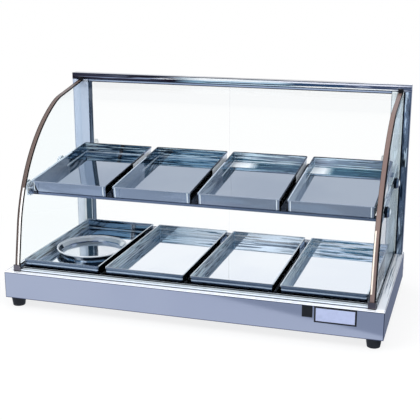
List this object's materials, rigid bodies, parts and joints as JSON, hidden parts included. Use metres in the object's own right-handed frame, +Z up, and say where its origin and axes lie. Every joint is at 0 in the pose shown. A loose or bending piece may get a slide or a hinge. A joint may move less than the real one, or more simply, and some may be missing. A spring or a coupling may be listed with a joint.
{
  "type": "heated display case",
  "caption": "Counter-top heated display case with a curved front glass, two tiers of lift-out trays, sliding rear doors and a low base that holds the heating gear.",
  "frame": {"origin": "centre of the overall footprint at the level of the feet", "axes": "+X to the right seen from the front, +Y to the rear doors, +Z up"},
  "size_m": [0.75, 0.377, 0.43],
  "materials": {
    "polished_steel": "polished stainless sheet",
    "mirror_steel": "mirror-polished stainless sheet",
    "strip_metal": "warm satin strip",
    "clear_glass": "clear",
    "clear_door": "clear sliding panel",
    "black_rubber": "matt",
    "black_plastic": "matt",
    "dark_steel": "dark",
    "lamp_amber": "gloss lens",
    "zinc": "plated",
    "element_sheath": "heat-dulled sheath",
    "block_white": "ceramic white"
  },
  "bodies": {
    "case": {"arch_clip_left": "dark_steel", "arch_clip_right": "dark_steel", "arch_left": "strip_metal", "arch_right": "strip_metal", "arch_socket_left": "mirror_steel", "arch_socket_right": "mirror_steel", "base_deck": "polished_steel", "base_plate": "zinc", "base_skirt_front": "polished_steel", "base_skirt_left": "polished_steel", "base_skirt_rear": "polished_steel", "base_skirt_right": "polished_steel", "cable_gland": "black_plastic", "element_clips": "zinc", "foot_front_left": "black_rubber", "foot_front_right": "black_rubber", "foot_rear_left": "black_rubber", "foot_rear_right": "black_rubber", "foot_screws": "zinc", "front_channel": "polished_steel", "front_glass": "clear_glass", "glass_knobs_left": "mirror_steel", "glass_knobs_right": "mirror_steel", "heat_shield": "zinc", "heating_elements": "element_sheath", "pilot_lamp": "lamp_amber", "post_left": "polished_steel", "post_right": "polished_steel", "shelf_front_bar": "polished_steel", "shelf_rail_left": "polished_steel", "shelf_rail_right": "polished_steel", "shelf_rear_bar": "polished_steel", "side_channel_left": "polished_steel", "side_channel_right": "polished_steel", "side_glass_left": "clear_glass", "side_glass_right": "clear_glass", "terminal_block": "block_white", "thermostat_body": "black_plastic", "top_beam": "polished_steel", "track_lower": "polished_steel", "track_upper": "polished_steel"},
    "tray_lower_1": {"tray_lower_1": "mirror_steel"},
    "tray_lower_2": {"tray_lower_2": "mirror_steel"},
    "tray_lower_3": {"tray_lower_3": "mirror_steel"},
    "tray_lower_4": {"tray_lower_4": "mirror_steel"},
    "tray_upper_1": {"tray_upper_1": "mirror_steel"},
    "tray_upper_2": {"tray_upper_2": "mirror_steel"},
    "tray_upper_3": {"tray_upper_3": "mirror_steel"},
    "tray_upper_4": {"tray_upper_4": "mirror_steel"},
    "water_dish": {"water_dish": "mirror_steel"},
    "door_left": {"door_left": "clear_door", "pull_left": "mirror_steel"},
    "door_right": {"door_right": "clear_door", "pull_right": "mirror_steel"},
    "dial": {"thermostat_dial": "black_plastic"}
  },
  "joints": [
    {"name": "tray_lower_1_lift", "type": "slide", "parent": "case", "child": "tray_lower_1", "axis": [0, 0.2079, 0.9781], "range_m": [0, 0.025]},
    {"name": "tray_lower_2_lift", "type": "slide", "parent": "case", "child": "tray_lower_2", "axis": [0, 0.2079, 0.9781], "range_m": [0, 0.025]},
    {"name": "tray_lower_3_lift", "type": "slide", "parent": "case", "child": "tray_lower_3", "axis": [0, 0.2079, 0.9781], "range_m": [0, 0.025]},
    {"name": "tray_lower_4_lift", "type": "slide", "parent": "case", "child": "tray_lower_4", "axis": [0, 0.2079, 0.9781], "range_m": [0, 0.025]},
    {"name": "tray_upper_1_lift", "type": "slide", "parent": "case", "child": "tray_upper_1", "axis": [0, 0.4384, 0.8988], "range_m": [0, 0.016]},
    {"name": "tray_upper_2_lift", "type": "slide", "parent": "case", "child": "tray_upper_2", "axis": [0, 0.4384, 0.8988], "range_m": [0, 0.016]},
    {"name": "tray_upper_3_lift", "type": "slide", "parent": "case", "child": "tray_upper_3", "axis": [0, 0.4384, 0.8988], "range_m": [0, 0.016]},
    {"name": "tray_upper_4_lift", "type": "slide", "parent": "case", "child": "tray_upper_4", "axis": [0, 0.4384, 0.8988], "range_m": [0, 0.016]},
    {"name": "water_dish_lift", "type": "slide", "parent": "tray_lower_1", "child": "water_dish", "axis": [0, 0, 1], "range_m": [0, 0.04]},
    {"name": "door_left_slide", "type": "slide", "parent": "case", "child": "door_left", "axis": [1, 0, 0], "range_m": [0, 0.32]},
    {"name": "door_right_slide", "type": "slide", "parent": "case", "child": "door_right", "axis": [-1, 0, 0], "range_m": [0, 0.32]},
    {"name": "dial_turn", "type": "hinge", "parent": "case", "child": "dial", "pos_m": [0.25, 0.1725, 0.047], "axis": [0, 1, 0], "range_deg": [0, 270]}
  ]
}
